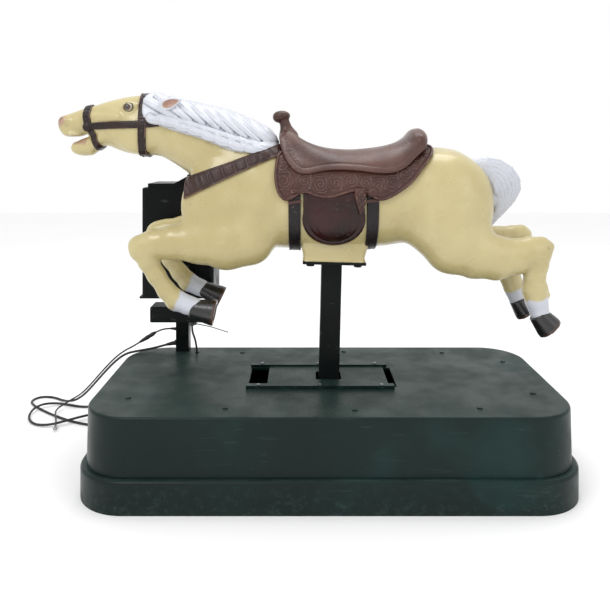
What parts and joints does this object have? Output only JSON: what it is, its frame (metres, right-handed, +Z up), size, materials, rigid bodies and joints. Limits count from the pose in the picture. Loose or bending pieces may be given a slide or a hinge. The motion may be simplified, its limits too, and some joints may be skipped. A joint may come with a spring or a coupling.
{
  "type": "coin operated horse ride",
  "caption": "Children's coin ride: a galloping horse with saddle on a rocking post over a low drive base, with a coin box on a post and a mains cord.",
  "frame": {"origin": "on the floor, at the middle of the underside of the base", "axes": "+X towards the horse's tail, +Y towards the coin unit's side, +Z up"},
  "size_m": [1.5759, 0.789, 0.9882],
  "materials": {
    "green_shell": "satin green-black paint",
    "black_steel": "worn satin near-black paint",
    "zinc": "zinc plated",
    "pan_steel": "galvanised",
    "horse_cream": "glossy cream paint on fibreglass",
    "hoof_black": "gloss black",
    "mane_white": "glossy white paint",
    "eye_glass": "clear gloss",
    "saddle_brown": "satin brown, tooled",
    "strap_brown": "satin dark brown, tooled",
    "pad_yellow": "glossy cream paint",
    "cast_grey": "grey casting",
    "motor_grey": "grey paint",
    "belt_rubber": "matte",
    "board_green": "circuit board",
    "chrome_trim": "polished",
    "button_red": "gloss red",
    "cord_black": "satin black cord sheath",
    "grey_plastic": "matte grey"
  },
  "bodies": {
    "base": {"base_shell": "green_shell", "base_pan": "pan_steel", "chassis_frame": "black_steel", "pivot_bearings": "cast_grey", "bearing_bolts": "zinc", "slot_rails": "green_shell", "rail_screws": "zinc", "deck_screws": "green_shell", "gearbox_housing": "cast_grey", "drive_belt": "belt_rubber", "motor_body": "motor_grey", "control_box": "motor_grey", "timer_board": "board_green", "coin_post": "black_steel", "coin_box": "black_steel", "coin_head": "black_steel", "coin_mechanism": "zinc", "cash_box": "zinc", "junction_box": "black_steel", "cable_gland": "grey_plastic", "inner_lead": "cord_black", "cable_tie": "grey_plastic", "mains_cord": "cord_black", "lead_cord": "cord_black", "cord_coil": "cord_black", "plug": "cord_black", "lead_connector": "cord_black", "lead_terminal": "zinc"},
    "rocker": {"pivot_shaft": "zinc", "horse_post": "black_steel", "flange_plate": "black_steel", "flange_bolts": "black_steel", "horse_shell": "horse_cream", "hooves": "hoof_black", "mane": "mane_white", "tail": "mane_white", "glass_eyes": "eye_glass", "saddle_seat": "saddle_brown", "saddle_horn": "saddle_brown", "saddle_skirts": "saddle_brown", "saddle_fenders": "strap_brown", "girth_straps": "strap_brown", "breast_collar": "strap_brown", "bridle": "strap_brown", "belly_pad": "pad_yellow", "backing_plate": "zinc"},
    "slide_cover": {"slide_plate": "green_shell"},
    "connecting_rod": {"connecting_rod": "zinc", "crank_pin": "zinc"},
    "crank": {"crank_disc": "cast_grey", "worm_wheel_shaft": "zinc"},
    "worm": {"worm_shaft": "zinc", "gearbox_pulley": "cast_grey"},
    "motor_rotor": {"motor_pulley": "cast_grey", "motor_rotor": "zinc"},
    "coin_door": {"coin_door": "black_steel"},
    "door_lock": {"door_lock": "chrome_trim"},
    "return_flap": {"return_flap": "chrome_trim"},
    "start_button": {"start_button": "button_red"},
    "reject_button": {"reject_button": "chrome_trim"}
  },
  "joints": [
    {"name": "rock", "type": "hinge", "parent": "base", "child": "rocker", "pos_m": [0.002, 0, 0.075], "axis": [0, 1, 0], "range_deg": [-9.43, 6.57]},
    {"name": "slide_cover_slide", "type": "slide", "parent": "base", "child": "slide_cover", "axis": [1, 0, 0], "range_m": [-0.0245, 0.018]},
    {"name": "rod_pivot", "type": "hinge", "parent": "rocker", "child": "connecting_rod", "pos_m": [0.00425, 0, 0.165], "axis": [0, 1, 0], "range_deg": [-10, 10]},
    {"name": "motor_spin", "type": "hinge", "parent": "base", "child": "motor_rotor", "pos_m": [0.3, 0.08, 0.105], "axis": [1, 0, 0], "continuous": true},
    {"name": "worm_spin", "type": "hinge", "parent": "base", "child": "worm", "pos_m": [0.33, -0.108, 0.117], "axis": [1, 0, 0], "continuous": true},
    {"name": "crank_spin", "type": "hinge", "parent": "base", "child": "crank", "pos_m": [0.33, -0.108, 0.165], "axis": [0, 1, 0], "continuous": true},
    {"name": "coin_door_hinge", "type": "hinge", "parent": "base", "child": "coin_door", "pos_m": [-0.545, 0.294, 0.565], "axis": [0, 0, 1], "range_deg": [0, 110]},
    {"name": "door_lock_turn", "type": "hinge", "parent": "coin_door", "child": "door_lock", "pos_m": [-0.358, 0.292, 0.565], "axis": [0, 1, 0], "range_deg": [0, 90]},
    {"name": "return_flap_swing", "type": "hinge", "parent": "base", "child": "return_flap", "pos_m": [-0.536, 0.216, 0.492], "axis": [0, -1, 0], "range_deg": [0, 40]},
    {"name": "start_button_press", "type": "slide", "parent": "base", "child": "start_button", "axis": [0.4787, 0, -0.878], "range_m": [0, 0.004], "stiffness_N_per_m": 400, "springref_m": -0.001},
    {"name": "reject_button_press", "type": "slide", "parent": "base", "child": "reject_button", "axis": [0.4787, 0, -0.878], "range_m": [0, 0.005], "stiffness_N_per_m": 300, "springref_m": -0.001}
  ],
  "couplings": [
    {"joint": "slide_cover_slide", "follows": "rock", "m_per_rad": 0.1425},
    {"joint": "rod_pivot", "follows": "rock", "ratio": -1},
    {"joint": "worm_spin", "follows": "motor_spin", "ratio": 0.4545},
    {"joint": "crank_spin", "follows": "motor_spin", "ratio": 0.01515}
  ]
}
